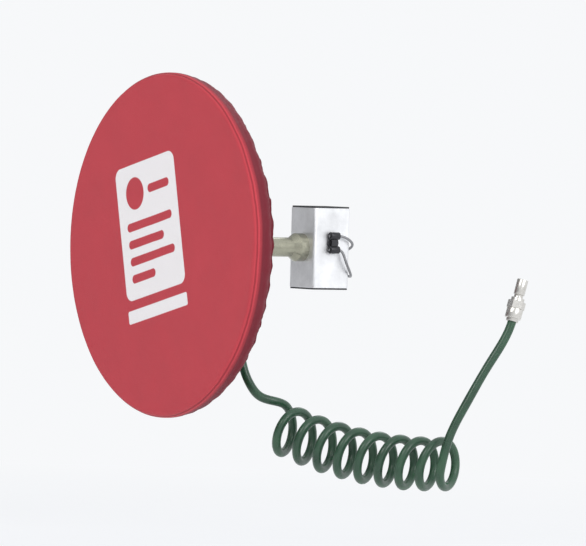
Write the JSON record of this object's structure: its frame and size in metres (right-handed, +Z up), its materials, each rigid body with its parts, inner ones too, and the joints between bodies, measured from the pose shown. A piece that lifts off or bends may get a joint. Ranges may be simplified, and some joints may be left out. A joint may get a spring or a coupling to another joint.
{
  "type": "vacuum suction cup",
  "caption": "Round vacuum suction cup with ball-jointed sprung stem, square beam carrier with locking pin, spiral vacuum hose and elastic fabric dust cover.",
  "frame": {"origin": "centre of the sealing plane, where the stem axis meets the free edge of the rubber lip", "axes": "+Y along the stem from the suction face to the carrier (the suction face looks along -Y), +Z up along the square beam, +X to the right seen from the suction side"},
  "size_m": [0.4542, 0.2084, 0.3725],
  "materials": {
    "cover_fabric": "matte",
    "elastic_cord": "matte",
    "lip_rubber": "matte",
    "pad_rubber": "matte",
    "boot_rubber": "satin",
    "plate_alloy": "machined",
    "carrier_alloy": "satin anodised",
    "barrel_alloy": "anodised",
    "rod_steel": "ground",
    "zinc_steel": "zinc plated",
    "black_steel": "black oxide",
    "spring_steel": "drawn wire",
    "bronze": "sintered",
    "bearing_plastic": "matte",
    "black_plastic": "matte",
    "hose_green": "semi-gloss",
    "nickel": "nickel plated",
    "blue_plastic": "gloss",
    "filter_sinter": "sintered"
  },
  "bodies": {
    "carrier": {"carrier_sleeve": "carrier_alloy", "slide_liner_upper": "black_plastic", "slide_liner_lower": "black_plastic", "stem_rod": "rod_steel", "rod_screw": "black_steel", "rod_nut": "zinc_steel"},
    "lock": {"lock_pin": "black_steel", "lock_bail": "spring_steel"},
    "spring_seat": {"piston_washer": "zinc_steel", "suspension_spring": "spring_steel"},
    "barrel": {"barrel_tube": "barrel_alloy", "barrel_end_cap": "barrel_alloy", "end_cap_screws": "black_steel", "guide_bush": "bronze", "ball_stud": "rod_steel"},
    "seat": {"seat_front": "bearing_plastic", "seat_rear": "bearing_plastic"},
    "pad": {"backing_plate": "plate_alloy", "sealing_lip": "lip_rubber", "clamp_ring": "zinc_steel", "clamp_screws": "zinc_steel", "friction_pad": "pad_rubber", "filter_disc": "filter_sinter", "socket_housing": "plate_alloy", "socket_cap": "plate_alloy", "cap_screws": "black_steel", "housing_screws": "black_steel", "dust_boot": "boot_rubber", "port_elbow": "nickel", "port_seal": "black_plastic", "hose": "hose_green", "plug_nut": "nickel", "hose_plug": "nickel"},
    "collet": {"release_ring": "blue_plastic"},
    "cover": {"cover": "cover_fabric", "cover_elastic": "elastic_cord"}
  },
  "joints": [
    {"name": "stem_spin", "type": "hinge", "parent": "carrier", "child": "spring_seat", "pos_m": [0, 0.092, 0], "axis": [0, 1, 0], "range_deg": [-20, 20]},
    {"name": "suspension", "type": "slide", "parent": "spring_seat", "child": "barrel", "axis": [0, 1, 0], "range_m": [0, 0.012], "stiffness_N_per_m": 4000, "springref_m": -0.006, "deforming": ["suspension_spring"]},
    {"name": "tilt_x", "type": "hinge", "parent": "barrel", "child": "seat", "pos_m": [0, 0.04, 0], "axis": [1, 0, 0], "range_deg": [-10, 10], "stiffness_Nm_per_rad": 40, "deforming": ["dust_boot"]},
    {"name": "tilt_z", "type": "hinge", "parent": "seat", "child": "pad", "pos_m": [0, 0.04, 0], "axis": [0, 0, 1], "range_deg": [-10, 10], "stiffness_Nm_per_rad": 40, "deforming": ["dust_boot"]},
    {"name": "release_press", "type": "slide", "parent": "pad", "child": "collet", "axis": [-0.5655, 0, 0.8247], "range_m": [0, 0.0008], "stiffness_N_per_m": 3000, "springref_m": -0.0005},
    {"name": "cover_off", "type": "slide", "parent": "pad", "child": "cover", "axis": [0, -1, 0], "range_m": [0, 0.15], "deforming": ["cover", "cover_elastic"]},
    {"name": "pin_pull", "type": "slide", "parent": "carrier", "child": "lock", "axis": [1, 0, 0], "range_m": [0, 0.045]}
  ]
}
